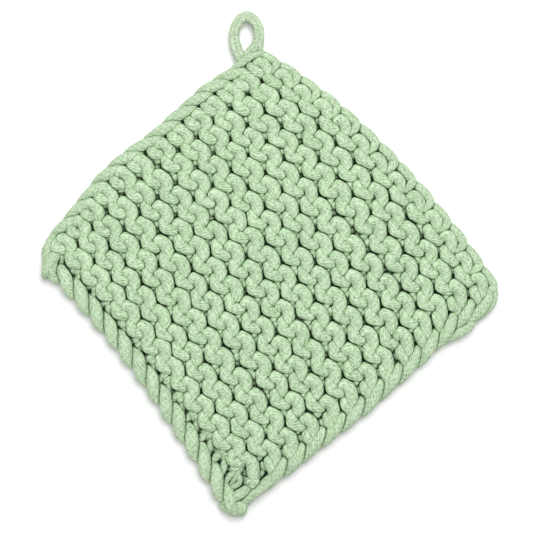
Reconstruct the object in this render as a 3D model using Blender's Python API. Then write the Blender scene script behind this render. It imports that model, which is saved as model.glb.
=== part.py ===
"""Hand-knitted pot holder in garter stitch, lying face up on its back.

The square hangs by one corner, so it is modelled as a diamond: +Y runs towards the hanging loop.
Each stitch of thick cotton cord is raised in the face, an arch above and a bean below it.
"""
import math

import bmesh
import bpy
import numpy as np
from mathutils import Vector

MM = 0.001

# Driving sizes, in millimetres
CORD_DIAMETER = 6.4
THICKNESS = 15.0
MID_HEIGHT = THICKNESS / 2
WALES = 13
TURN_DEGREES = -45.5

# One row for each knitted ridge, from the bound-off edge down to the cast-on edge. Seen on the square
# itself, x across and y up: the first stitch, the middle stitch's height, the last stitch, both rims.
# first_x, first_y, middle_y, last_x, last_y, left_rim_x, right_rim_x
RIDGES = (
    (-81.5, 81.5, 92.0, 91.5, 82.5, -92.0, 105.0),
    (-83.5, 70.0, 77.0, 86.5, 70.0, -96.5, 110.0),
    (-85.0, 58.5, 63.5, 85.5, 57.0, -99.0, 109.5),
    (-86.5, 46.0, 48.5, 85.5, 42.5, -101.5, 105.5),
    (-87.0, 34.0, 34.5, 85.5, 28.5, -102.0, 105.5),
    (-88.0, 21.0, 21.0, 85.5, 13.5, -102.5, 105.0),
    (-89.5, 8.0, 7.0, 85.5, -0.5, -103.0, 104.0),
    (-92.0, -7.5, -7.0, 84.5, -15.5, -105.5, 103.5),
    (-94.0, -20.0, -21.0, 83.5, -29.5, -107.0, 102.0),
    (-94.5, -33.5, -35.5, 82.5, -44.0, -107.0, 100.0),
    (-93.5, -46.5, -49.0, 80.5, -59.0, -105.5, 98.5),
    (-92.0, -59.0, -63.5, 78.5, -72.0, -104.0, 97.0),
    (-91.0, -71.5, -76.0, 75.5, -85.5, -102.5, 95.0),
)
FIRST_X, FIRST_Y, MIDDLE_Y, LAST_X, LAST_Y, LEFT_RIM_X, RIGHT_RIM_X = range(7)

# How far the cast-on edge hangs below the last ridge: at wale, by millimetres
CAST_ON_DROP = (
    (0.5, 12.5), (1.0, 20.5), (1.5, 24.5), (2.0, 22.5), (7.0, 23.0), (11.0, 24.5), (13.0, 29.0), (13.5, 29.5),
)
BIND_OFF_RISE = 6.7

# Corners of the rim: (left or right, top or bottom), x, y
CORNERS = {
    ("left", "top"): (-89.5, 85.0),
    ("right", "top"): (101.5, 86.5),
    ("left", "bottom"): (-99.5, -83.0),
    ("right", "bottom"): (91.0, -111.0),
}

# The lines that cross one ridge, in parts of a ridge below its centre. The swing lifts a line over an
# arch and lowers it under a bean. Heights are at the wale, a quarter of the way on, and between wales.
# below, swing, at_wale, at_quarter, between
RIDGE_LINES = (
    (-0.25, 0.08, 7.5, 9.8, 8.0),
    (-0.13, 0.11, 13.4, 12.6, 9.8),
    (0.02, 0.06, 15.0, 14.2, 11.6),
    (0.26, -0.05, 12.4, 12.2, 12.6),
    (0.46, 0.06, 11.6, 14.2, 15.0),
    (0.62, 0.08, 9.8, 12.6, 13.4),
)
EDGE_GROOVE_HEIGHT = 12.4

# Edge bands: how far out a line runs (1 is the rim), and its share of the height above the middle.
# The share drops by the dip between one link of the edge and the next.
# reach, share, dip
SIDE_BAND = ((1.0, 0.0, 0.0), (0.82, 0.62, 0.3), (0.42, 0.98, 0.35))
BIND_OFF_BAND = ((1.0, 0.0, 0.0), (0.62, 0.74, 0.4))
CAST_ON_BAND = ((0.3, 1.0, 0.5), (0.56, 0.5, 0.1), (0.74, 0.85, 0.45), (0.92, 0.45, 0.3), (1.0, 0.0, 0.0))
CAST_ON_SLANT = 0.5
RIM_SCALLOP = 0.8

# The underside rests on the flats of its own ridges
UNDER_LINES = ((-0.25, 2.6), (-0.1, 0.0), (0.6, 0.0))
UNDER_RIM_REACH = 0.8
UNDER_RIM_HEIGHT = 2.2
UNDER_FLAT_REACH = 0.4

# The hanging loop's middle line on the square's own axes, foot to foot round the eye: x, y
LOOP_ROUTE = (
    (-93.4, 83.2), (-95.4, 87.6), (-98.6, 92.2), (-103.0, 95.4), (-107.6, 96.2), (-111.6, 94.4),
    (-113.4, 90.2), (-111.8, 85.2), (-107.4, 81.0), (-101.6, 77.8), (-95.6, 75.4),
)
LOOP_STEPS = 3
LOOP_BEVEL_RESOLUTION = 3


def clear_scene():
    for leftover in list(bpy.data.objects):
        bpy.data.objects.remove(leftover, do_unlink=True)


def collection(name):
    group = bpy.data.collections.new(name)
    bpy.context.scene.collection.children.link(group)
    return group


def cotton(name, colour):
    """Matt cotton cord, undyed sheen and no coat."""
    material = bpy.data.materials.new(name)
    material.use_nodes = True
    shader = material.node_tree.nodes["Principled BSDF"]
    shader.inputs["Base Color"].default_value = (*colour, 1.0)
    shader.inputs["Roughness"].default_value = 0.92
    shader.inputs["Metallic"].default_value = 0.0
    return material


def ridge_at(ridge):
    """The ridge table read at a whole or part ridge, carried on straight past its two ends."""
    rows = np.array(RIDGES)
    lower = min(max(int(math.floor(ridge)), 1), len(rows) - 1)
    part = ridge - lower
    return rows[lower - 1] * (1 - part) + rows[lower] * part


def stitch_place(wale, ridge):
    """Where a point of the knitting lies: wale 1 to 13 across, ridge 1 to 13 down."""
    row = ridge_at(ridge)
    across = (wale - 1) / (WALES - 1)
    bow = 4 * across * (1 - across) * (row[MIDDLE_Y] - (row[FIRST_Y] + row[LAST_Y]) / 2)
    x = row[FIRST_X] + (row[LAST_X] - row[FIRST_X]) * across
    y = row[FIRST_Y] + (row[LAST_Y] - row[FIRST_Y]) * across + bow
    return Vector((x, y))


def side_rim(side, ridge):
    """The chain of slipped stitches up each side, one long link for each ridge."""
    row = ridge_at(ridge)
    bulge = RIM_SCALLOP * math.cos(2 * math.pi * (ridge - 0.25))
    if side == "left":
        return Vector((row[LEFT_RIM_X] - bulge, row[FIRST_Y]))
    return Vector((row[RIGHT_RIM_X] + bulge, row[LAST_Y]))


def end_rim(end, wale):
    """The bound-off edge along the top and the cast-on edge along the bottom, one bump a stitch."""
    bulge = RIM_SCALLOP * math.cos(2 * math.pi * wale)
    if end == "top":
        return stitch_place(wale, 1.0) + Vector((0, BIND_OFF_RISE + bulge))
    wales, drops = zip(*CAST_ON_DROP)
    return stitch_place(wale, float(len(RIDGES))) - Vector((0, np.interp(wale, wales, drops) + bulge))


def place(column, line):
    """A grid point of the square: inside the knitting, in an edge band, or in a corner of both."""
    side, wale, out = column
    end, ridge, swing, beyond = line
    inner = stitch_place(wale, ridge - swing * math.cos(2 * math.pi * wale))
    point = inner * (1 - out) * (1 - beyond)
    if out:
        point += side_rim(side, ridge) * out * (1 - beyond)
    if beyond:
        point += end_rim(end, wale) * (1 - out) * beyond
    if out and beyond:
        point += Vector(CORNERS[side, end]) * out * beyond
    return point


def face_columns():
    """Every quarter stitch across, between the bands of the two side chains."""
    left = [("left", 0.5, *band) for band in SIDE_BAND]
    inner = [("left", 0.5 + step / 4, 0.0, None, None) for step in range(4 * WALES + 1)]
    right = [("right", WALES + 0.5, *band) for band in reversed(SIDE_BAND)]
    return left + inner + right


def face_lines():
    """Six lines for each ridge, between the bands of the bound-off and the cast-on edges."""
    gap_below, gap_swing, *gap_heights = RIDGE_LINES[0]
    top, bottom = 1 + gap_below, len(RIDGES) + 1 + gap_below
    lines = [("top", top, 0.0, reach, (share, dip)) for reach, share, dip in BIND_OFF_BAND]
    for ridge in range(1, len(RIDGES) + 1):
        for below, swing, *heights in RIDGE_LINES:
            lines.append(("top", ridge + below, swing, 0.0, heights))
    lines[len(BIND_OFF_BAND)] = ("top", top, 0.0, 0.0, [EDGE_GROOVE_HEIGHT] * 3)
    lines.append(("bottom", bottom, gap_swing, 0.0, gap_heights))
    lines += [("bottom", bottom, gap_swing, reach, (share, dip)) for reach, share, dip in CAST_ON_BAND]
    return lines


def link_share(share, dip, turn):
    """The height of one link of an edge: full at whole turns, lower by the dip half-way between."""
    return share * (1 - dip * (0.5 - 0.5 * math.cos(2 * math.pi * turn)))


def face_height(column, line):
    side, wale, out, side_share, side_dip = column
    end, ridge, swing, beyond, heights = line
    if not out and not beyond:
        quarter = round(4 * wale) % 4
        return heights[(0, 1, 2, 1)[quarter]]
    share = 1.0
    if out:
        share *= link_share(side_share, side_dip, ridge - 0.25)
    if beyond:
        share *= link_share(*heights, wale - CAST_ON_SLANT * beyond)
    return MID_HEIGHT + (THICKNESS - MID_HEIGHT) * share


def under_columns():
    left = [("left", 0.5, UNDER_RIM_REACH), ("left", 0.5, UNDER_FLAT_REACH)]
    inner = [("left", float(wale), 0.0) for wale in range(1, WALES + 1)]
    right = [("right", WALES + 0.5, UNDER_FLAT_REACH), ("right", WALES + 0.5, UNDER_RIM_REACH)]
    return left + inner + right


def under_lines():
    groove = UNDER_LINES[0][0]
    top, bottom = 1 + groove, len(RIDGES) + 1 + groove
    lines = [("top", top, 0.0, UNDER_RIM_REACH, UNDER_RIM_HEIGHT)]
    for ridge in range(1, len(RIDGES) + 1):
        for below, height in UNDER_LINES:
            lines.append(("top", ridge + below, 0.0, 0.0, height))
    lines[1] = ("top", top, 0.0, 0.0, 0.0)
    lines.append(("bottom", bottom, 0.0, UNDER_FLAT_REACH, 0.0))
    lines.append(("bottom", bottom, 0.0, UNDER_RIM_REACH, UNDER_RIM_HEIGHT))
    return lines


def lay_grid(mesh, columns, lines, point_at):
    """A flat grid whose points are moved to the places that point_at(column, line) gives."""
    across, down = len(columns) - 1, len(lines) - 1
    grid = bmesh.ops.create_grid(mesh, x_segments=across, y_segments=down, size=1.0)
    for vertex in grid["verts"]:
        column = columns[round((vertex.co.x + 1) / 2 * across)]
        line = lines[round((1 - vertex.co.y) / 2 * down)]
        vertex.co = point_at(column, line) * MM


def face_point(column, line):
    spot = place(column[:3], line[:4])
    return Vector((spot.x, spot.y, face_height(column, line)))


def under_point(column, line):
    side, wale, out = column
    end, ridge, swing, beyond, height = line
    spot = place(column, (end, ridge, swing, beyond))
    if out == UNDER_RIM_REACH:
        height = UNDER_RIM_HEIGHT
    return Vector((spot.x, spot.y, height))


def knitted_square(group, material):
    """Thirteen ridges of thirteen stitches with their four edges, worked as one cloth."""
    mesh = bmesh.new()
    lay_grid(mesh, face_columns(), face_lines(), face_point)
    lay_grid(mesh, under_columns(), under_lines(), under_point)
    rims = [edge for edge in mesh.edges if edge.is_boundary]
    bmesh.ops.bridge_loops(mesh, edges=rims)
    bmesh.ops.triangulate(mesh, faces=mesh.faces[:])
    bmesh.ops.recalc_face_normals(mesh, faces=mesh.faces[:])
    data = bpy.data.meshes.new("knitted_square")
    mesh.to_mesh(data)
    mesh.free()
    data.shade_smooth()
    data.materials.append(material)
    square = bpy.data.objects.new("knitted_square", data)
    group.objects.link(square)
    return square


def smooth_route(points, steps):
    """A Catmull-Rom curve through the points, with so many steps between each pair."""
    spots = [Vector((x, y, MID_HEIGHT)) for x, y in points]
    spots = [2 * spots[0] - spots[1]] + spots + [2 * spots[-1] - spots[-2]]
    route = []
    for before, start, stop, after in zip(spots, spots[1:], spots[2:], spots[3:]):
        for step in range(steps):
            t = step / steps
            bend = 2 * before - 5 * start + 4 * stop - after
            twist = -before + 3 * start - 3 * stop + after
            route.append(start + 0.5 * ((stop - before) * t + bend * t ** 2 + twist * t ** 3))
    route.append(spots[-2])
    return route


def hanging_loop(group, material):
    """A short length of the same cord, bent round and worked into the corner by both its feet."""
    curve = bpy.data.curves.new("hanging_loop", "CURVE")
    curve.dimensions = "3D"
    curve.bevel_depth = CORD_DIAMETER / 2 * MM
    curve.bevel_resolution = LOOP_BEVEL_RESOLUTION
    curve.use_fill_caps = True
    route = smooth_route(LOOP_ROUTE, LOOP_STEPS)
    spline = curve.splines.new("POLY")
    spline.points.add(len(route) - 1)
    for point, spot in zip(spline.points, route):
        point.co = (*(spot * MM), 1.0)
    spline.use_smooth = True
    curve.materials.append(material)
    loop = bpy.data.objects.new("hanging_loop", curve)
    group.objects.link(loop)
    return loop


def centre_on_origin(carrier, pieces):
    """Stand the whole diamond with the middle of its footprint over the origin."""
    bpy.context.view_layer.update()
    graph = bpy.context.evaluated_depsgraph_get()
    corners = []
    for piece in pieces:
        shape = piece.evaluated_get(graph)
        outline = shape.to_mesh()
        corners += [piece.matrix_world @ vertex.co for vertex in outline.vertices]
        shape.to_mesh_clear()
    low = Vector(map(min, zip(*corners)))
    high = Vector(map(max, zip(*corners)))
    middle = (low + high) / 2
    carrier.location = (-middle.x, -middle.y, 0.0)


clear_scene()
pot_holder = collection("Pot Holder")
carrier = bpy.data.objects.new("pot_holder_turn", None)
pot_holder.objects.link(carrier)
carrier.rotation_euler = (0.0, 0.0, math.radians(TURN_DEGREES))

square = knitted_square(pot_holder, cotton("Pale green cotton cord", (0.56, 0.74, 0.51)))
loop = hanging_loop(pot_holder, cotton("Pale green loop cord", (0.57, 0.75, 0.53)))
for piece in (square, loop):
    piece.parent = carrier
centre_on_origin(carrier, (square, loop))
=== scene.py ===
import math

import bpy
import numpy as np
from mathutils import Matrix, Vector


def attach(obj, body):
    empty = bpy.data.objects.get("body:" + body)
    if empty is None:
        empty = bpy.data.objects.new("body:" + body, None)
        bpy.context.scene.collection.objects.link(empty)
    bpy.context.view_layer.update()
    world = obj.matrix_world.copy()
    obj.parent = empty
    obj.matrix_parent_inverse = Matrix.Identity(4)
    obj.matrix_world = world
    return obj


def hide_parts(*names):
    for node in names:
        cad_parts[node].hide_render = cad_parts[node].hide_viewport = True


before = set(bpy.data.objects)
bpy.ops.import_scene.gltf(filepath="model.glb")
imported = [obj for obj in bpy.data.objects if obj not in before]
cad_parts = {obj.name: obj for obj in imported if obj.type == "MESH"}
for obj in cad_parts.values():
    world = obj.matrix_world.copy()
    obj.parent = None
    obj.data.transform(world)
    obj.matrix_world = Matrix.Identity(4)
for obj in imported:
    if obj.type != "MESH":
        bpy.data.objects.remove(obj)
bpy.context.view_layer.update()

# ---- Garter-stitch ridges -------------------------------------------------------------------------
# The cloth is one soft cotton cord, knitted by hand on thick needles: 13 ridges of 13 stitches. Each
# ridge is two rows. The heads of the first row arch over the front, and below them hang the sinkers
# of the second row, like a line of beans. The back shows the same, half a ridge further down.
MM = 0.001
FULL_TURN = 2 * math.pi
WALES = 13
CORD_RADIUS = 3.75
# In mm: the cloth's middle layer above the table, and its front and back layers from the middle one
CLOTH_MIDDLE = 8.3
LAYER = 3.4
# The square hangs by its top left corner, so its axes are turned, and cross at this place in mm
TURN = math.radians(-45.5)
SQUARE_ORIGIN = np.array((-1.63, -3.13))
# In mm on the square's own axes, one row for each ridge from the bound-off edge to the cast-on edge.
# Lean moves the middle stitch to the right. Spread moves the stitches at both quarters away from it,
# and sag lowers those at the right quarter and raises those at the left one.
RIDGE_COLUMNS = (
    "first_x", "first_y", "middle_y", "last_x", "last_y", "left_rim", "right_rim", "lean", "spread", "sag",
)
RIDGES = np.array((
    (-84.0, 81.5, 91.0, 94.3, 82.5, -92.0, 105.0, -1.9, 1.0, 0.5),
    (-82.9, 70.0, 77.0, 87.8, 70.0, -96.5, 110.0, -0.8, 0.7, 0.4),
    (-84.4, 58.5, 63.5, 86.1, 57.0, -99.0, 109.5, -0.2, 0.7, 0.1),
    (-85.9, 46.0, 48.5, 86.1, 42.5, -101.5, 105.5, 0.0, 0.5, 0.2),
    (-86.4, 34.0, 34.5, 86.1, 28.5, -102.0, 105.5, -0.7, 0.4, 0.4),
    (-87.4, 21.0, 21.0, 86.1, 13.5, -102.5, 105.0, -1.1, 0.4, 0.5),
    (-88.9, 8.0, 7.0, 86.1, -0.5, -103.0, 104.0, -0.4, 0.4, 0.7),
    (-91.4, -7.5, -7.0, 85.1, -15.5, -105.5, 103.5, 0.0, 0.4, 0.9),
    (-93.4, -20.0, -21.0, 84.1, -29.5, -107.0, 102.0, 0.6, 0.1, 1.0),
    (-93.9, -33.5, -35.5, 83.1, -44.0, -107.0, 100.0, 0.2, 0.2, 1.2),
    (-92.9, -46.5, -49.0, 81.1, -59.0, -105.5, 98.5, -0.4, 0.4, 1.0),
    (-91.4, -59.0, -63.5, 79.1, -72.0, -104.0, 97.0, -1.1, 0.1, 1.0),
    (-90.4, -71.5, -76.0, 76.1, -85.5, -102.5, 95.0, -0.5, -0.2, 0.8),
))
LAST_RIDGE = len(RIDGES)
# The factors that bring a ridge's bow at its middle, and its wave at both quarters, up to 1
BOW_FACTOR = 4
WAVE_FACTOR = 10.4


def ridge_at(ridge):
    """The named sizes of a whole or part ridge, carried on straight past both ends of the table."""
    ridge = np.asarray(ridge, float)
    upper = np.clip(np.floor(ridge).astype(int), 1, LAST_RIDGE - 1)
    part = (ridge - upper)[..., None]
    sizes = RIDGES[upper - 1] * (1 - part) + RIDGES[upper] * part
    return dict(zip(RIDGE_COLUMNS, np.moveaxis(sizes, -1, 0)))


def stitch_place(wale, ridge):
    """Where a stitch lies on the square's own axes, in mm."""
    line = ridge_at(ridge)
    across = (np.asarray(wale, float) - 1) / (WALES - 1)
    bow = BOW_FACTOR * across * (1 - across)
    wave = WAVE_FACTOR * across * (1 - across) * (2 * across - 1)
    rise = line["middle_y"] - (line["first_y"] + line["last_y"]) / 2
    x = line["first_x"] + (line["last_x"] - line["first_x"]) * across + bow * line["lean"]
    y = line["first_y"] + (line["last_y"] - line["first_y"]) * across + bow * rise
    return np.stack((x + wave * line["spread"], y - wave * line["sag"]), -1)


def hung_by_corner(flat, height):
    """Points of the square turned the way it hangs, in the frame, with their heights, in mm."""
    x = flat[..., 0] * math.cos(TURN) - flat[..., 1] * math.sin(TURN) + SQUARE_ORIGIN[0]
    y = flat[..., 0] * math.sin(TURN) + flat[..., 1] * math.cos(TURN) + SQUARE_ORIGIN[1]
    return np.stack((x, y, height), -1)


def in_cloth(flat, layer, thickness):
    """A cord's line in the cloth, with its thickness beside it."""
    line = hung_by_corner(flat, CLOTH_MIDDLE + LAYER * layer)
    return np.concatenate((line, thickness[:, None]), 1)


def smooth(points, steps):
    """A Catmull-Rom curve through the points, with so many steps from each one to the next."""
    points = np.asarray(points, float)
    padded = np.concatenate((2 * points[:1] - points[1:2], points, 2 * points[-1:] - points[-2:-1]))
    before, start, stop, after = (padded[k:len(padded) - 3 + k, None] for k in range(4))
    t = (np.arange(steps) / steps)[None, :, None]
    slope = stop - before
    bend = 2 * before - 5 * start + 4 * stop - after
    change = 3 * start - before - 3 * stop + after
    curve = start + 0.5 * (slope * t + bend * t ** 2 + change * t ** 3)
    return np.concatenate((curve.reshape(-1, points.shape[1]), points[-1:]))


# A cord's end is rounded off by three more rings, as thick as these shares of the cord
ROUND_END = np.array((0.25, 0.70, 0.93))
# Hand-spun cord is never quite even: a long swell about every 57 mm, and a short one every 26 mm.
# By what share of the cord each one swells, and the mm in which it turns by one radian
LONG_SWELL = 0.025
LONG_SWELL_RUN = 9.0
SHORT_SWELL = 0.015
SHORT_SWELL_RUN = 4.1
# Each cord's twist starts anywhere in so many mm, and its long swell anywhere in so many radians
TWIST_START = 400
SWELL_START = 6


def cord_rings(route, radius, around, chance):
    """Rings of points round a cord's line in mm, and how far along the cord each ring lies."""
    squeezed = route[:, 3] if route.shape[1] > 3 else np.ones(len(route))
    line = route[:, :3]
    forward = np.gradient(line, axis=0)
    forward /= np.linalg.norm(forward, axis=1)[:, None]
    # a direction across the cord is carried along it from ring to ring, so that the skin isn't wrung
    up = np.zeros_like(line)
    carried = np.array((0.0, 0.0, 1.0))
    for k, heading in enumerate(forward):
        carried = carried - carried.dot(heading) * heading
        carried /= np.linalg.norm(carried)
        up[k] = carried
    reach = radius * np.sqrt(1 - ROUND_END ** 2)[:, None]
    centres = np.concatenate((line[0] - forward[0] * reach, line, (line[-1] + forward[-1] * reach)[::-1]))
    squeezed = np.concatenate((ROUND_END * squeezed[0], squeezed, ROUND_END[::-1] * squeezed[-1]))
    extra = len(ROUND_END)
    up = np.concatenate((np.repeat(up[:1], extra, 0), up, np.repeat(up[-1:], extra, 0)))
    forward = np.concatenate((np.repeat(forward[:1], extra, 0), forward, np.repeat(forward[-1:], extra, 0)))
    length = np.concatenate(((0.0,), np.cumsum(np.linalg.norm(np.diff(centres, axis=0), axis=1))))
    length += chance.uniform(0, TWIST_START)
    long_swell = LONG_SWELL * np.sin(length / LONG_SWELL_RUN + chance.uniform(0, SWELL_START))
    short_swell = SHORT_SWELL * np.sin(length / SHORT_SWELL_RUN)
    thick = radius * (1 + long_swell + short_swell) * squeezed
    turn = (FULL_TURN * around)[None, :, None]
    outward = np.cos(turn) * up[:, None] + np.sin(turn) * np.cross(forward, up)[:, None]
    return centres[:, None] + thick[:, None, None] * outward, length


def lay_cord(name, routes, radius, sides=14, seed=0):
    """One mesh of round cord laid along each route in mm. Its UV is mm along, and one turn around."""
    chance = np.random.default_rng(seed)
    around = np.arange(sides + 1) / sides
    verts, faces, uvs, made = [], [], [], 0
    for route in routes:
        rings, length = cord_rings(np.asarray(route, float), radius, around[:-1], chance)
        verts.append(rings.reshape(-1, 3))
        row, column = np.meshgrid(np.arange(len(rings) - 1), np.arange(sides), indexing="ij")
        beside = (column + 1) % sides
        near, far = made + row * sides, made + (row + 1) * sides
        quads = np.stack((near + column, near + beside, far + beside, far + column), -1)
        faces += quads.reshape(-1, 4).tolist()
        along = np.stack((length[row], length[row], length[row + 1], length[row + 1]), -1)
        about = np.stack((around[column], around[column + 1], around[column + 1], around[column]), -1)
        uvs.append(np.stack((along, about), -1).reshape(-1, 2))
        # a small face closes each end
        last = made + (len(rings) - 1) * sides
        faces += [list(range(made + sides - 1, made - 1, -1)), list(range(last, last + sides))]
        uvs.append(np.stack((np.full(sides, length[0]), around[:-1][::-1]), -1))
        uvs.append(np.stack((np.full(sides, length[-1]), around[:-1]), -1))
        made += len(rings) * sides
    mesh = bpy.data.meshes.new(name)
    mesh.from_pydata((np.concatenate(verts) * MM).tolist(), [], faces)
    mesh.uv_layers.new(name="cord").data.foreach_set("uv", np.concatenate(uvs).ravel())
    mesh.shade_smooth()
    piece = bpy.data.objects.new(name, mesh)
    bpy.context.scene.collection.objects.link(piece)
    return piece


def srgb(code):
    """A hex colour as linear numbers."""
    parts = (int(code[k:k + 2], 16) / 255 for k in (0, 2, 4))
    return tuple(p / 12.92 if p <= 0.04045 else ((p + 0.055) / 1.055) ** 2.4 for p in parts) + (1.0,)


def add_node(tree, kind, settings=None, inputs=None):
    """Add a shader node. Each input is given a value, an output, or a node, for its first output."""
    node = tree.nodes.new("ShaderNode" + kind)
    for name, value in (settings or {}).items():
        setattr(node, name, value)
    for socket, value in (inputs or {}).items():
        if isinstance(value, bpy.types.Node):
            value = value.outputs[0]
        if isinstance(value, bpy.types.NodeSocket):
            tree.links.new(value, node.inputs[socket])
        else:
            node.inputs[socket].default_value = value
    return node


# The plies waver by up to 7 radians about every 3 mm. A true fibre of cotton is 0.02 mm wide. To show,
# its streaks are drawn 3 mm long and 0.7 mm wide, its grain 0.8 mm wide, and its specks 2 mm apart.
WAVERS_PER_MM = 0.35
WAVER_REACH = 7.0
STREAKS_PER_MM = (0.35, 1.5, 1.5)
GRAINS_PER_MM = 1.3
SPECKS_PER_MM = 0.5
# Finer threads cross the plies, so many of them round the cord, and 2.2 mm apart along a ply
CROSS_THREADS = 4.0
CROSS_PITCH = 2.2
# How much each of these adds to the height of the plies
STREAK_HEIGHT = 2.2
GRAIN_HEIGHT = 3.0
SPECK_HEIGHT = 0.9
CROSS_HEIGHT = 0.30


def spun_relief(tree, radius, plies, lay):
    """The streaks of fibre on a spun cord's own skin, and how high the whole skin stands."""
    place = add_node(tree, "UVMap", {"uv_map": "cord"})
    parts = add_node(tree, "SeparateXYZ", {}, {0: place})
    along, around = parts.outputs["X"], parts.outputs["Y"]
    twist = add_node(tree, "Math", {"operation": "MULTIPLY_ADD"}, {0: along, 1: 1 / lay, 2: around})
    angle = add_node(tree, "Math", {"operation": "MULTIPLY"}, {0: twist, 1: FULL_TURN})
    cosine = add_node(tree, "Math", {"operation": "COSINE"}, {0: angle})
    sine = add_node(tree, "Math", {"operation": "SINE"}, {0: angle})
    spin = add_node(tree, "CombineXYZ", {}, {"X": along, "Y": cosine, "Z": sine})
    skin = add_node(tree, "VectorMath", {"operation": "MULTIPLY"}, {0: spin, 1: (1.0, radius, radius)})
    waver = add_node(tree, "TexNoise", {"noise_dimensions": "3D"},
                     {"Vector": skin, "Scale": WAVERS_PER_MM, "Detail": 1.0})
    drift = add_node(tree, "Math", {"operation": "MULTIPLY"}, {0: waver, 1: WAVER_REACH})
    strand = add_node(tree, "Math", {"operation": "MULTIPLY_ADD"}, {0: twist, 1: plies * math.pi, 2: drift})
    wave = add_node(tree, "Math", {"operation": "SINE"}, {0: strand})
    ply = add_node(tree, "Math", {"operation": "ABSOLUTE"}, {0: wave})
    combed = add_node(tree, "VectorMath", {"operation": "MULTIPLY"}, {0: skin, 1: STREAKS_PER_MM})
    streaks = add_node(tree, "TexNoise", {"noise_dimensions": "3D"},
                       {"Vector": combed, "Scale": 1.0, "Detail": 3.0, "Roughness": 0.65})
    grain = add_node(tree, "TexNoise", {"noise_dimensions": "3D"},
                     {"Vector": skin, "Scale": GRAINS_PER_MM, "Detail": 2.0, "Roughness": 0.7})
    cells = add_node(tree, "TexVoronoi", {"feature": "F1"}, {"Vector": skin, "Scale": SPECKS_PER_MM})
    specks = add_node(tree, "MapRange", {},
                      {"Value": cells.outputs["Distance"], "From Min": 0.10, "From Max": 0.22})
    slant = add_node(tree, "Math", {"operation": "MULTIPLY_ADD"},
                     {0: along, 1: FULL_TURN / CROSS_PITCH, 2: drift})
    slant = add_node(tree, "Math", {"operation": "MULTIPLY_ADD"}, {0: angle, 1: -CROSS_THREADS, 2: slant})
    cross = add_node(tree, "Math", {"operation": "SINE"}, {0: slant})
    relief = ply
    for pattern, height in ((streaks, STREAK_HEIGHT), (grain, GRAIN_HEIGHT), (specks, SPECK_HEIGHT),
                            (cross, CROSS_HEIGHT)):
        relief = add_node(tree, "Math", {"operation": "MULTIPLY_ADD"}, {0: pattern, 1: height, 2: relief})
    return streaks, relief


# The dye took unevenly, in patches about 14 mm wide
DYE_PATCHES_PER_M = 70.0
# How far cords paint shade on each other in the hollows, and in creases where two touch, in mm
HOLLOW_REACH = 3.0
CREASE_REACH = 1.2
# The outermost cords stand clear of the others, and are painted this much more light
PAINTED_FACE_LIGHT = 0.20


def colour_with_painted_shade(tree, yarn, hollow_shade, painted_light_from):
    """Dyed yarn, with shade painted darker and richer in its creases, and a painted shadow in deep hollows.
    """
    body = add_node(tree, "TexCoord").outputs["Object"]
    patches = add_node(tree, "TexNoise", {"noise_dimensions": "3D"},
                       {"Vector": body, "Scale": DYE_PATCHES_PER_M, "Detail": 2.0})
    paleness = add_node(tree, "MapRange", {}, {"Value": patches, "From Min": 0.3, "From Max": 0.7,
                                               "To Min": 0.95, "To Max": 1.05})
    dyed = add_node(tree, "HueSaturation", {}, {"Color": yarn, "Value": paleness})
    # painted light: the further a cord lies from the cloth's middle, the lighter it is painted
    height = add_node(tree, "SeparateXYZ", {}, {0: body}).outputs["Z"]
    from_middle = add_node(tree, "Math", {"operation": "SUBTRACT"}, {0: height, 1: CLOTH_MIDDLE * MM})
    from_middle = add_node(tree, "Math", {"operation": "ABSOLUTE"}, {0: from_middle})
    painted_face_light = add_node(tree, "MapRange", {"interpolation_type": "SMOOTHSTEP"},
                         {"Value": from_middle, "From Min": painted_light_from * MM,
                          "From Max": (painted_light_from + LAYER) * MM, "To Max": PAINTED_FACE_LIGHT})
    # painted shadow: where cords close in round a spot, its colour sinks to the near-black shadow
    hollow_sky = add_node(tree, "AmbientOcclusion", {"samples": 8}, {"Distance": HOLLOW_REACH * MM})
    painted_light_amount = add_node(tree, "Math", {"operation": "ADD"}, {0: hollow_sky.outputs["AO"], 1: painted_face_light})
    painted_lit_mask = add_node(tree, "MapRange", {"interpolation_type": "SMOOTHSTEP"},
                   {"Value": painted_light_amount, "From Min": 0.27, "From Max": 0.83})
    # painted shade: where two cords touch, their colour is painted darker and richer
    crease_sky = add_node(tree, "AmbientOcclusion", {"samples": 8}, {"Distance": CREASE_REACH * MM})
    crease_shade_value = add_node(tree, "MapRange", {}, {"Value": crease_sky.outputs["AO"], "From Min": 0.55,
                                             "From Max": 0.99, "To Min": 0.48, "To Max": 1.0})
    crease_shade_richness = add_node(tree, "MapRange", {}, {"Value": crease_sky.outputs["AO"], "From Min": 0.55,
                                           "From Max": 0.99, "To Min": 1.40, "To Max": 1.05})
    crease_shaded = add_node(tree, "HueSaturation", {}, {"Color": dyed, "Value": crease_shade_value, "Saturation": crease_shade_richness})
    return add_node(tree, "Mix", {"data_type": "RGBA"}, {0: painted_lit_mask, 6: srgb(hollow_shade), 7: crease_shaded}).outputs[2]


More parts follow.
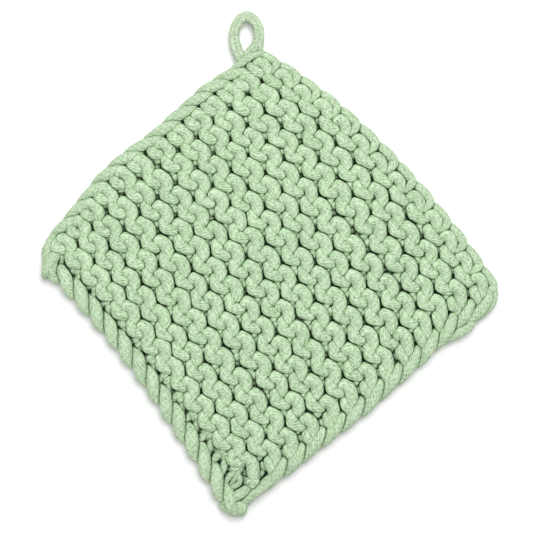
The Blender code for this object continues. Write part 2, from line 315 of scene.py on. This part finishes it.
def matt_cotton_cord(name, raised_lit, sunk_shade, hollow_shade, radius, plies, lay, painted_light_from):
    """Soft spun cotton, dyed mint: fine plies twisted along the cord, matt, with a short bloom of fibre.

    Fibres low between plies and in specks get painted shade. The lay is the mm of one full twist.
    Past the last argument's mm off the cloth's middle, cords are painted lighter, as if in open light.
    """
    material = bpy.data.materials.new(name)
    material.use_nodes = True
    tree = material.node_tree
    streaks, relief = spun_relief(tree, radius, plies, lay)
    # painted shade: darker mint where the relief sinks between plies and into specks, paler on top
    height = add_node(tree, "MapRange", {}, {"Value": relief, "From Min": 2.5, "From Max": 4.5})
    yarn = add_node(tree, "Mix", {"data_type": "RGBA"}, {0: height, 6: srgb(sunk_shade), 7: srgb(raised_lit)})
    colour = colour_with_painted_shade(tree, yarn.outputs[2], hollow_shade, painted_light_from)
    rough = add_node(tree, "MapRange", {}, {"Value": streaks, "From Min": 0.3, "From Max": 0.7,
                                            "To Min": 0.98, "To Max": 0.86})
    bump = add_node(tree, "Bump", {}, {"Height": relief, "Distance": 0.5 * MM, "Strength": 0.9})
    shader = tree.nodes["Principled BSDF"]
    tree.links.new(colour, shader.inputs["Base Color"])
    tree.links.new(rough.outputs[0], shader.inputs["Roughness"])
    tree.links.new(bump.outputs[0], shader.inputs["Normal"])
    shader.inputs["IOR"].default_value = 1.45
    shader.inputs["Specular IOR Level"].default_value = 0.1
    shader.inputs["Sheen Weight"].default_value = 0.04
    shader.inputs["Sheen Roughness"].default_value = 0.6
    return material


# One loop, from the sinker on its left to the sinker on its right. Its right leg hangs lower, because
# the cord is pulled that way. Stitches across, ridges down, back (-1) to front (1), and thickness: it
# is pressed thin where it passes through the cloth, and plump on both faces.
LOOP = (
    (-0.53, 1.035, -1.00, 1.12), (-0.42, 1.01, -1.00, 1.05), (-0.31, 0.955, -0.96, 0.97),
    (-0.21, 0.895, -0.80, 0.92), (-0.13, 0.81, -0.30, 0.84), (-0.10, 0.69, 0.32, 0.78),
    (-0.15, 0.52, 0.28, 0.78), (-0.24, 0.36, 0.44, 0.88), (-0.32, 0.21, 0.80, 1.00),
    (-0.325, 0.08, 0.96, 1.06), (-0.17, 0.02, 1.00, 1.07), (-0.04, 0.025, 1.00, 1.08),
    (0.09, 0.07, 1.00, 1.07), (0.22, 0.165, 0.98, 1.05), (0.315, 0.28, 0.86, 0.98),
    (0.30, 0.41, 0.34, 0.86), (0.19, 0.55, 0.22, 0.78), (0.10, 0.70, 0.28, 0.78),
    (0.13, 0.81, -0.32, 0.84), (0.20, 0.90, -0.82, 0.92), (0.32, 0.97, -0.97, 0.99),
)
# How far the second row's heads lie above the first row's heads, in ridges
SECOND_ROW_RISE = 0.49
# How far a stitch strays by chance, in the same measures
STRAY = (0.032, 0.036, 0.04, 0.025)
# The last stitch of a row is pulled out by this factor and down by these slopes. In front its leg is
# bowed out, by so many stitches, at this part of a ridge and over this reach
PULLED_OUT = 1.25
HEAD_PULLED_DOWN = 0.13
SINKER_PULLED_DOWN = 0.08
EDGE_LEG_BOW = 0.28
EDGE_LEG_BOW_AT = 0.55
EDGE_LEG_BOW_REACH = 0.2
# The front sinkers crowd away from the left edge, by so much, which fades over so many stitches
CROWD = 0.34
CROWD_FADE = 1.6
# The bound-off heads are thinner and narrower in front. Behind, they are drawn down to this share of
# their height above the line of the sinkers
BOUND_THICKNESS = 0.92
BOUND_WIDTH = 0.80
BOUND_HEIGHT = 0.60
SINKER_LINE = 1.04
# The last stitch of all stands open, by so much to both sides, at these parts of a ridge
OPENED_RIGHT = 0.34
OPENED_LEFT = -0.14
OPENED_AT_FRONT = 0.72
OPENED_AT_BACK = 0.9
OPENED_REACH = 0.22
# How a row's cord runs on past its last stitch, and how the front sinkers start and end at the edges
ROW_END = (0.56, 1.03, 1, 0.9)
SINKERS_START = ((0.36, 0.86, 0.1, 0.7), (0.55, 0.95, 0.7, 0.8))
SINKERS_END = ((0.75, 1.12, 0.7, 0.8), (0.9, 1.2, 0.2, 0.7))
unevenness = np.random.default_rng(13)


def bell(at, middle, reach):
    """1 at the middle, and next to nothing at twice the reach from it."""
    return np.exp(-((at - middle) / reach) ** 2)


def pull_to_edge(stitch, side):
    """Pull a row's last stitch out to the edge, so that its leg runs in under the chain."""
    right = stitch[:, 0] > 0
    stitch[right, 1] += stitch[right, 0] * (HEAD_PULLED_DOWN if side > 0 else SINKER_PULLED_DOWN)
    stitch[right, 0] *= PULLED_OUT
    if side > 0:
        stitch[right, 0] += EDGE_LEG_BOW * bell(stitch[right, 1], EDGE_LEG_BOW_AT, EDGE_LEG_BOW_REACH)


def bind_off(stitch, side):
    """Draw a bound-off stitch small. Its head lies half under the link lifted over its right."""
    if side < 0:
        stitch[:, 1] = SINKER_LINE - (SINKER_LINE - stitch[:, 1]) * BOUND_HEIGHT
    else:
        stitch[:, 3] *= BOUND_THICKNESS
        left_of_head = (stitch[:, 0] < 0) & (stitch[:, 1] < 0.5)
        stitch[left_of_head, 0] *= BOUND_WIDTH


def stand_open(stitch, side):
    """Open the last stitch of all, beside the tucked end of the cord."""
    opened = bell(stitch[:, 1], OPENED_AT_FRONT if side > 0 else OPENED_AT_BACK, OPENED_REACH)
    stitch[:, 0] += opened * np.where(stitch[:, 0] > 0, OPENED_RIGHT, OPENED_LEFT)


def loop_row(head_ridge, side, steps=3):
    """One knitted row. Its heads are in front where side is 1, and its sinkers where it is -1."""
    row = []
    stray = unevenness.normal(0, 1, (WALES + 2, 2, 4)) * STRAY
    for wale in range(1, WALES + 1):
        stitch = np.array(LOOP)
        if wale == WALES:
            pull_to_edge(stitch, side)
        # neighbours share a sinker, which strays alike in both, and each head strays by itself
        left = stitch[:, :1] < 0
        sinker_part = np.clip(stitch[:, 1:2], 0, 1)
        sinker_stray = np.where(left, stray[wale - 1, 1], stray[wale, 1])
        stitch += stray[wale, 0] * (1 - sinker_part) + sinker_stray * sinker_part
        if side < 0:
            stitch[:, :1] += CROWD * np.exp(-(wale - left) / CROWD_FADE) * sinker_part ** 2
        if head_ridge <= 1:
            bind_off(stitch, side)
        if wale == WALES and head_ridge > LAST_RIDGE - 1:
            stand_open(stitch, side)
        row.append(stitch * (1, 1, side, 1) + (wale, head_ridge, 0, 0))
    row.append(np.array((ROW_END,)) * (1, 1, -side, 1) + (WALES, head_ridge, 0, 0))
    if side < 0:
        # the front sinkers run on under the edge stitches
        row.insert(0, np.array(SINKERS_START) + (0, head_ridge, 0, 0))
        row.append(np.array(SINKERS_END) + (WALES, head_ridge, 0, 0))
    wale, ridge, layer, thickness = smooth(np.concatenate(row), steps).T
    return in_cloth(stitch_place(wale, ridge), layer, thickness)


# a paler and a darker copy of the mint: the darker one is painted shade between the plies
# the near-black green is painted shadow in the deep hollows of the cloth
cotton = matt_cotton_cord("matt_spun_cotton_mint", raised_lit="E9FFDD", sunk_shade="8FC482", hollow_shade="163C06",
                          radius=CORD_RADIUS, plies=11, lay=28.0, painted_light_from=1.6)
for ridge in range(1, LAST_RIDGE + 1):
    rows = [loop_row(ridge, 1), loop_row(ridge - SECOND_ROW_RISE, -1)]
    knitted = lay_cord(f"knit_ridge_{ridge:02d}", rows, CORD_RADIUS, seed=ridge)
    knitted.data.materials.append(cotton)
    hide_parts("knitted_square")
    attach(knitted, "root")

# ---- Side edges -----------------------------------------------------------------------------------
# Where the knitting turns, the first and last stitch of each ridge are pulled long and lie one over
# the next, as a chain of slanting links down both sides. It is the same cord, with no seam.
# In from the rim, in mm, ridges down, back (-1) to front (1), and thickness
EDGE_LINK = (
    (8.0, -0.22, -0.40, 0.66), (7.7, -0.08, 0.35, 0.68), (7.2, 0.05, 0.90, 0.72),
    (6.4, 0.22, 1.05, 0.82), (5.3, 0.45, 1.05, 0.92), (4.3, 0.70, 0.92, 0.92),
    (3.4, 0.95, 0.62, 0.82), (2.8, 1.18, 0.25, 0.72), (2.7, 1.36, -0.15, 0.66),
    (3.4, 1.44, -0.55, 0.64), (5.0, 1.25, -0.90, 0.66), (6.8, 0.98, -0.85, 0.66),
)
LEFT_LINK_WIDTH = 0.95
RIGHT_LINK_WIDTH = 1.28
RIGHT_LINK_THICKNESS = 1.12
# The right chain lies at the rim, or at most this far in mm from the last stitches
RIGHT_EDGE_REACH = 20.0
# Strands that lie by themselves at the corners: x and y in mm on the square, layer and thickness
TOP_LEFT_STRAND = (
    (-88.1, 85.2, 0.20, 0.50), (-90.4, 82.9, 0.95, 0.58), (-92.9, 79.1, 1.10, 0.62),
    (-94.0, 73.6, 1.05, 0.62), (-94.5, 67.8, 0.90, 0.60), (-95.2, 62.0, 0.75, 0.60),
    (-96.2, 56.2, 0.60, 0.58), (-97.4, 50.4, 0.30, 0.56), (-98.3, 44.6, -0.20, 0.52),
)
TOP_RIGHT_STRANDS = (
    ((99.8, 84.6, -0.30, 0.72), (101.6, 81.1, 0.55, 0.80), (103.9, 76.5, 1.00, 0.90),
     (104.7, 70.7, 1.02, 0.92), (104.5, 64.9, 0.85, 0.86), (104.7, 60.3, 0.35, 0.78),
     (105.0, 56.2, -0.40, 0.70)),
    ((95.8, 86.4, -0.10, 0.80), (101.0, 84.3, 0.25, 0.82), (105.0, 81.1, 0.30, 0.82),
     (107.1, 75.9, 0.20, 0.80), (106.7, 69.0, 0.05, 0.78), (105.6, 63.2, -0.20, 0.75)),
    ((102.7, 67.8, -0.30, 0.70), (105.6, 63.7, 0.35, 0.80), (107.0, 59.1, 0.60, 0.84),
     (105.5, 52.7, 0.60, 0.82), (103.6, 46.9, 0.30, 0.76), (102.7, 42.3, -0.30, 0.70)),
)
BOTTOM_RIGHT_STRAND = (
    (88.8, -78.4, -0.30, 0.70), (89.7, -83.0, 0.70, 0.82), (89.4, -90.0, 1.00, 0.90),
    (88.8, -96.9, 0.90, 0.86), (88.5, -102.7, 0.50, 0.78), (88.2, -107.4, -0.20, 0.70),
)


def edge_chain(right):
    """The links down one side, as the one cord that they are. The first and last ridge have none."""
    inward, down, layer, thickness = np.array(EDGE_LINK).T
    if right:
        thickness = thickness * RIGHT_LINK_THICKNESS
    places = []
    for ridge in range(2, LAST_RIDGE):
        at = ridge_at(ridge + down)
        if right:
            rim = np.minimum(at["right_rim"], at["last_x"] + RIGHT_EDGE_REACH)
            places.append(np.stack((rim - inward * RIGHT_LINK_WIDTH, at["last_y"], layer, thickness), -1))
        else:
            x = at["left_rim"] + inward * LEFT_LINK_WIDTH
            places.append(np.stack((x, at["first_y"], layer, thickness), -1))
    x, y, layer, thickness = smooth(np.concatenate(places), steps=4).T
    return in_cloth(np.stack((x, y), -1), layer, thickness)


def lone_strand(points):
    """One strand laid through the given points of x, y, layer and thickness."""
    x, y, layer, thickness = smooth(points, steps=5).T
    return in_cloth(np.stack((x, y), -1), layer, thickness)


left_routes = [edge_chain(right=False), lone_strand(TOP_LEFT_STRAND)]
right_routes = [edge_chain(right=True), *map(lone_strand, (*TOP_RIGHT_STRANDS, BOTTOM_RIGHT_STRAND))]
for name, routes, seed in (("left_edge_chain", left_routes, 2), ("right_edge_chain", right_routes, 5)):
    chain = lay_cord(name, routes, CORD_RADIUS, seed=seed)
    chain.data.materials.append(cotton)
    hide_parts("knitted_square")
    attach(chain, "root")

# ---- Bound-off edge -------------------------------------------------------------------------------
# The last row is bound off: each stitch is lifted over the next, which leaves a chain along the top.
# Its near side is the arches of the first ridge, and its far side stands just above them.
# Stitches across, ridges down, back (-1) to front (1), and thickness
BIND_LINK = (
    (-0.64, -0.25, -0.60, 0.72), (-0.52, -0.31, -0.20, 0.80), (-0.34, -0.335, 0.22, 0.88),
    (-0.12, -0.34, 0.42, 0.92), (0.10, -0.335, 0.50, 0.92), (0.26, -0.30, 0.62, 0.88),
    (0.36, -0.18, 0.84, 0.80), (0.41, -0.02, 0.92, 0.76), (0.44, 0.14, 0.72, 0.72),
    (0.44, 0.24, 0.00, 0.70), (0.40, 0.10, -0.70, 0.70),
)
links = [np.array(BIND_LINK) + (wale, 1, 0, 0) for wale in range(1, WALES + 1)]
wale, ridge, layer, thickness = smooth(np.concatenate(links), steps=4).T
bound_line = in_cloth(stitch_place(wale, ridge), layer, thickness)
bound = lay_cord("bound_off_chain", [bound_line], CORD_RADIUS, seed=31)
bound.data.materials.append(cotton)
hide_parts("knitted_square")
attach(bound, "root")

# ---- Cast-on edge ---------------------------------------------------------------------------------
# The knitting starts from a thumb cast-on, whose tail winds round the foot of every stitch. It lies
# along the bottom as a thick rope of two strands, one full turn for about two stitches.
ROPE_CORD_RADIUS = 3.85
ROPE_RINGS = 300
# How far the rope's middle hangs below the last ridge: at wale, by mm
ROPE_DROP = (
    (0.8, 13.5), (1.0, 15.5), (1.5, 18.0), (2.0, 17.0), (5.0, 17.2), (7.0, 17.4), (9.0, 18.9), (11.0, 20.8),
    (13.0, 24.3), (13.6, 24.5), (14.0, 21.0),
)
# In stitches: where the rope starts and ends, one full turn, and a place where a strand hangs lowest
ROPE_START = 0.85
ROPE_END = 13.95
ROPE_TURN = 1.906
ROPE_LOW = 3.45
# How far a strand winds from the rope's middle, in mm: in the plane of the cloth, and up and down
ROPE_SPREAD = 2.55
ROPE_HEIGHT = 2.7
# Each leg of a stitch, in stitches from its middle: where it enters the rope, and where it leaves the
# cloth, by this part of a ridge below the last one
STITCH_LEGS = ((0.45, 0.16), (-0.25, -0.14))
LEG_TOP = 0.55
# A leg ends so many mm above the rope's middle, runs between these layers, and is pressed this thin
LEG_FOOT_RISE = 1.5
LEG_TOP_LAYER = 0.1
LEG_FOOT_LAYER = -0.3
LEG_THICKNESS = 0.72
LEG_STEPS = 7
# Strands that lie by themselves at both corners: x and y in mm on the square, layer and thickness
CORNER_STRANDS = (
    # two that round off the bottom left corner
    ((-98.3, -72.5, -0.20, 0.74), (-98.4, -77.2, 0.50, 0.84), (-96.6, -81.5, 0.62, 0.88),
     (-93.7, -85.9, 0.40, 0.84), (-91.3, -90.0, -0.20, 0.78)),
    ((-91.9, -76.5, -0.10, 0.74), (-91.3, -80.5, 0.80, 0.86), (-89.3, -87.6, 1.05, 0.94),
     (-87.7, -92.3, 0.85, 0.88), (-86.9, -94.8, 0.10, 0.74)),
    # two that close the rope's end at the bottom right corner
    ((84.7, -95.2, -0.20, 0.70), (84.2, -99.2, 0.80, 0.82), (83.0, -104.5, 0.95, 0.86),
     (81.5, -109.7, 0.60, 0.80), (80.7, -113.7, -0.20, 0.70)),
    ((82.4, -112.6, 0.00, 0.70), (85.3, -109.7, 0.60, 0.74), (88.8, -107.9, 0.90, 0.78),
     (90.2, -110.8, 0.70, 0.78), (87.1, -114.3, 0.30, 0.72), (82.4, -115.5, -0.30, 0.70)),
    # two beside and behind the hole at that corner
    ((82.0, -82.5, -0.20, 0.70), (83.6, -88.0, 0.00, 0.75), (85.2, -94.5, -0.20, 0.70)),
    ((66.0, -89.5, -1.25, 0.90), (76.0, -92.5, -1.25, 0.95), (88.0, -95.5, -1.25, 0.90)),
    # the cord's own end, tucked in and out again
    ((73.7, -98.7, 0.00, 0.45), (76.0, -96.9, 0.70, 0.45), (78.6, -99.8, 0.80, 0.48),
     (77.8, -103.9, 0.75, 0.45), (79.5, -107.9, 0.30, 0.42)),
    ((70.8, -93.4, 0.00, 0.45), (73.7, -95.2, 0.60, 0.45), (75.5, -100.4, 0.60, 0.45),
     (76.6, -106.2, 0.10, 0.42)),
)


def rope_drop(wale):
    """How far the rope's middle hangs below the last ridge, in mm."""
    return np.interp(wale, *zip(*ROPE_DROP))


wale = np.linspace(ROPE_START, ROPE_END, ROPE_RINGS)
flat = stitch_place(wale, np.full_like(wale, LAST_RIDGE))
flat[:, 1] -= rope_drop(wale)
along = np.gradient(flat, axis=0)
along /= np.linalg.norm(along, axis=1)[:, None]
across = np.stack((-along[:, 1], along[:, 0]), -1)
strands = []
for phase in (math.pi, FULL_TURN):
    turn = phase + (wale - ROPE_LOW) / ROPE_TURN * FULL_TURN
    aside = across * (ROPE_SPREAD * np.cos(turn))[:, None]
    strands.append(hung_by_corner(flat + aside, CLOTH_MIDDLE + ROPE_HEIGHT * np.sin(turn)))
for stitch in range(1, WALES + 1):
    for foot, head in STITCH_LEGS:
        if stitch == WALES and foot > 0:
            # the very last leg would cross the hole, so a corner strand takes its place
            continue
        top = stitch_place(stitch + head, LAST_RIDGE + LEG_TOP)
        low = stitch_place(stitch + foot, LAST_RIDGE) - (0, rope_drop(stitch + foot) - LEG_FOOT_RISE)
        leg = np.linspace(top, low, LEG_STEPS)
        layer = np.linspace(LEG_TOP_LAYER, LEG_FOOT_LAYER, LEG_STEPS)
        strands.append(in_cloth(leg, layer, np.full(LEG_STEPS, LEG_THICKNESS)))
for points in CORNER_STRANDS:
    line = lone_strand(points)
    line[:, 3] *= CORD_RADIUS / ROPE_CORD_RADIUS
    strands.append(line)
rope = lay_cord("cast_on_rope", strands, ROPE_CORD_RADIUS, seed=41)
rope.data.materials.append(cotton)
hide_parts("knitted_square")
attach(rope, "root")

# ---- Hanging loop ---------------------------------------------------------------------------------
# A little chain, hooked from a thinner end of the same cotton. It leaves the bound-off corner, makes
# an eye for a hook, and both its feet are caught under the edge strands.
# Its middle line and the strand at its foot: x and y in mm on the square
LOOP_ROUTE = (
    (-95.0, 74.1), (-98.9, 75.1), (-103.0, 76.7), (-106.7, 78.7), (-109.8, 81.4), (-112.3, 85.0),
    (-113.4, 89.8), (-112.1, 93.8), (-108.3, 95.3), (-103.6, 94.4), (-99.6, 91.7), (-96.9, 88.3),
    (-95.9, 84.4), (-95.6, 80.5), (-95.0, 76.6),
)
FOOT_STRAND = ((-99.2, 92.1), (-95.7, 89.1), (-93.2, 85.8), (-91.4, 82.8), (-90.1, 79.1))
# In mm: the loop's middle above the table, the radius of its cord, and the step from link to link
LOOP_HEIGHT = 7.5
THIN_RADIUS = 2.05
LINK_PITCH = 4.6
# The last link starts at least this far from the line's end, in mm
LAST_LINK_ROOM = 5.0
# Along, aside and up, in mm from the foot of one link
CHAIN_LINK = (
    (0.0, 0.0, -1.7), (0.9, -0.5, -0.7), (2.2, -0.9, 0.45), (4.0, -1.05, 0.9), (5.8, -0.9, 0.6),
    (7.0, -0.5, -0.2), (7.4, 0.0, -0.7), (7.0, 0.5, -0.2), (5.8, 0.9, 0.6), (4.0, 1.05, 0.9),
    (2.2, 0.9, 0.45), (0.9, 0.5, -0.7), (0.0, 0.0, -1.7),
)
line = smooth(LOOP_ROUTE, steps=24)
line_along = np.gradient(line, axis=0)
line_along /= np.linalg.norm(line_along, axis=1)[:, None]
line_run = np.concatenate(((0.0,), np.cumsum(np.linalg.norm(np.diff(line, axis=0), axis=1))))
ahead, aside, up = smooth(CHAIN_LINK, steps=3).T
links = []
for start in np.arange(0.0, line_run[-1] - LAST_LINK_ROOM, LINK_PITCH):
    at = start + ahead
    middle = np.stack([np.interp(at, line_run, line[:, k]) for k in (0, 1)], -1)
    heading = np.stack([np.interp(at, line_run, line_along[:, k]) for k in (0, 1)], -1)
    beside = np.stack((-heading[:, 1], heading[:, 0]), -1)
    links.append(hung_by_corner(middle + beside * aside[:, None], LOOP_HEIGHT + up))
foot = smooth(FOOT_STRAND, steps=6)
links.append(hung_by_corner(foot, np.full(len(foot), LOOP_HEIGHT)))
hanger = lay_cord("hanging_loop_chain", links, THIN_RADIUS, sides=10, seed=51)
# same cotton, thinner cord, with paler painted shade and more painted light: light reaches it all round
thin_cotton = matt_cotton_cord("matt_spun_cotton_thin", raised_lit="E8FBDD", sunk_shade="ABCE9C", hollow_shade="4F7040",
                               radius=THIN_RADIUS, plies=5, lay=12.0, painted_light_from=-4.0)
hanger.data.materials.append(thin_cotton)
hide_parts("hanging_loop")
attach(hanger, "root")

# ---- Table, light and camera ----------------------------------------------------------------------
# The pot holder lies on a plain white table, photographed from straight above in soft light. The table
# is matt laminate, a smooth bright ground without gloss, on which only a faint soft shadow falls.
TABLE_HALF = 3
table_corners = [(x * TABLE_HALF, y * TABLE_HALF, 0) for x, y in ((-1, -1), (1, -1), (1, 1), (-1, 1))]
table_mesh = bpy.data.meshes.new("table_top")
table_mesh.from_pydata(table_corners, [], [(0, 1, 2, 3)])
table = bpy.data.objects.new("table_top", table_mesh)
bpy.context.scene.collection.objects.link(table)
laminate = bpy.data.materials.new("white_laminate")
laminate.use_nodes = True
laminate_shader = laminate.node_tree.nodes["Principled BSDF"]
laminate_shader.inputs["Base Color"].default_value = srgb("FDFDFD")
laminate_shader.inputs["Roughness"].default_value = 0.8
table_mesh.materials.append(laminate)

world = bpy.data.worlds.new("studio")
bpy.context.scene.world = world
world.use_nodes = True
world.node_tree.nodes["Background"].inputs["Color"].default_value = (1, 1, 1, 1)
world.node_tree.nodes["Background"].inputs["Strength"].default_value = 0.38
bpy.context.scene.view_settings.view_transform = "Standard"
# Name, place in m, power in W and width in m. The key light stands on the side of the loop
LAMPS = (
    ("key_light", (0.12, 0.30, 1.05), 9.35, 0.5),
    ("fill_light", (-0.5, -0.1, 0.9), 1.3, 0.8),
)
for name, place, power, width in LAMPS:
    light = bpy.data.lights.new(name, "AREA")
    light.energy = power
    light.size = width
    lamp = bpy.data.objects.new(name, light)
    lamp.location = place
    lamp.rotation_euler = (-Vector(place)).to_track_quat("-Z", "Y").to_euler()
    bpy.context.scene.collection.objects.link(lamp)

# In m: the picture is this wide at this height above the table, and its middle lies at this place
VIEW_WIDTH = 0.309
VIEW_HEIGHT = 0.012
VIEW_MIDDLE = (-0.0017, -0.0032)
camera = bpy.data.cameras.new("camera")
camera.lens = 85
camera.sensor_width = 36
eye = bpy.data.objects.new("camera", camera)
eye.location = (*VIEW_MIDDLE, VIEW_WIDTH * camera.lens / camera.sensor_width + VIEW_HEIGHT)
bpy.context.scene.collection.objects.link(eye)
bpy.context.scene.camera = eye
